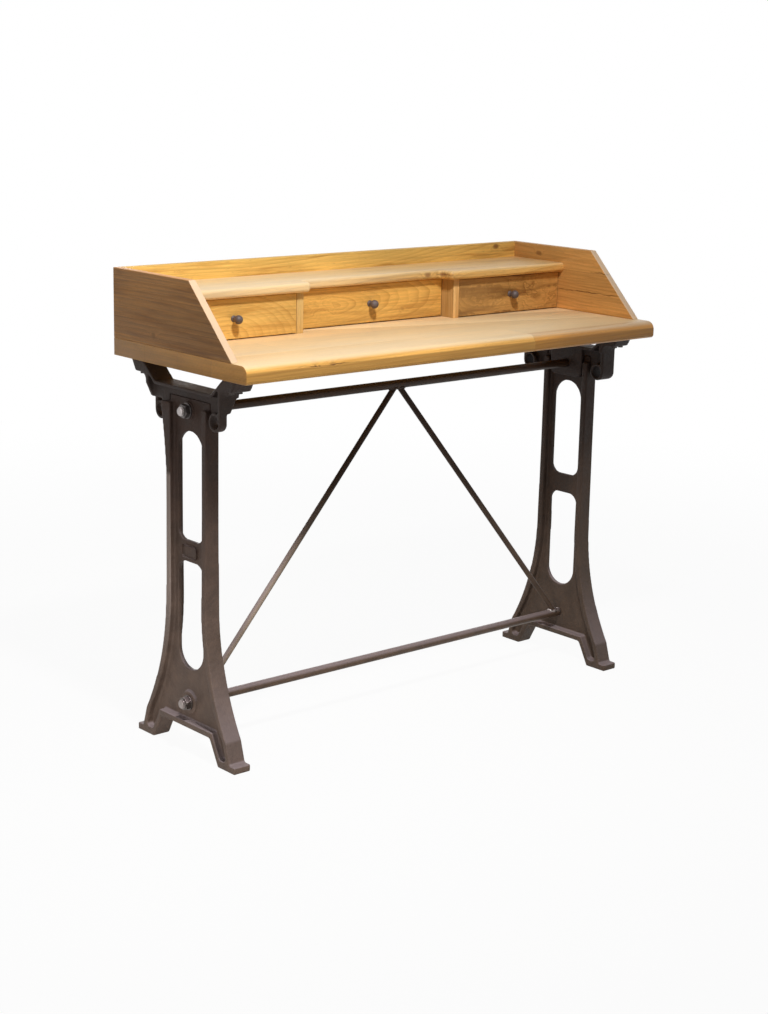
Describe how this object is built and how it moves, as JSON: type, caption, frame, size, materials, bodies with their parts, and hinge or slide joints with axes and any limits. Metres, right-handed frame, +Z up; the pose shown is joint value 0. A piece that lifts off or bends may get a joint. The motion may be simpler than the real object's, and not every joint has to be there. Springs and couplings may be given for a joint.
{
  "type": "writing desk",
  "caption": "Writing desk with a thick wooden top, sloped side panels and a stepped shelf over small drawers, on slotted cast-iron legs tied by rods and diagonal braces.",
  "frame": {"origin": "on the floor under the middle of the desktop, at the bottom centre of the desk's bounding box", "axes": "+X to the sitter's right along the desk's length, +Y to the back of the desk, +Z up"},
  "size_m": [1.072, 0.425, 0.914],
  "materials": {
    "board_wood": "oiled, honey coloured",
    "drawer_front_wood": "oiled, strong grain",
    "drawer_box_wood": "planed, plain",
    "dowel_wood": "plain",
    "cast_iron": "dark brown, sand-cast skin",
    "rod_steel": "dark brown, satin",
    "nut_steel": "worn steel",
    "screw_steel": "plain",
    "knob_iron": "dark, satin"
  },
  "bodies": {
    "desk": {"back_panel": "board_wood", "brace_left": "rod_steel", "brace_right": "rod_steel", "bracket_left": "cast_iron", "bracket_right": "cast_iron", "bracket_screws": "screw_steel", "desktop": "board_wood", "divider_left": "board_wood", "divider_right": "board_wood", "leg_left": "cast_iron", "leg_right": "cast_iron", "panel_dowels": "dowel_wood", "panel_screws": "screw_steel", "rod_bottom": "rod_steel", "rod_nuts": "nut_steel", "rod_top": "rod_steel", "rod_washers": "nut_steel", "shelf": "board_wood", "side_panel_left": "board_wood", "side_panel_right": "board_wood"},
    "drawer_left": {"drawer_left_back": "drawer_box_wood", "drawer_left_floor": "drawer_box_wood", "drawer_left_front": "drawer_front_wood", "drawer_left_knob": "knob_iron", "drawer_left_screw": "screw_steel", "drawer_left_side_left": "drawer_box_wood", "drawer_left_side_right": "drawer_box_wood"},
    "drawer_centre": {"drawer_centre_back": "drawer_box_wood", "drawer_centre_floor": "drawer_box_wood", "drawer_centre_front": "drawer_front_wood", "drawer_centre_knob": "knob_iron", "drawer_centre_screw": "screw_steel", "drawer_centre_side_left": "drawer_box_wood", "drawer_centre_side_right": "drawer_box_wood"},
    "drawer_right": {"drawer_right_back": "drawer_box_wood", "drawer_right_floor": "drawer_box_wood", "drawer_right_front": "drawer_front_wood", "drawer_right_knob": "knob_iron", "drawer_right_screw": "screw_steel", "drawer_right_side_left": "drawer_box_wood", "drawer_right_side_right": "drawer_box_wood"}
  },
  "joints": [
    {"name": "drawer_left_slide", "type": "slide", "parent": "desk", "child": "drawer_left", "axis": [0, -1, 0], "range_m": [0, 0.1]},
    {"name": "drawer_centre_slide", "type": "slide", "parent": "desk", "child": "drawer_centre", "axis": [0, -1, 0], "range_m": [0, 0.07]},
    {"name": "drawer_right_slide", "type": "slide", "parent": "desk", "child": "drawer_right", "axis": [0, -1, 0], "range_m": [0, 0.1]}
  ]
}
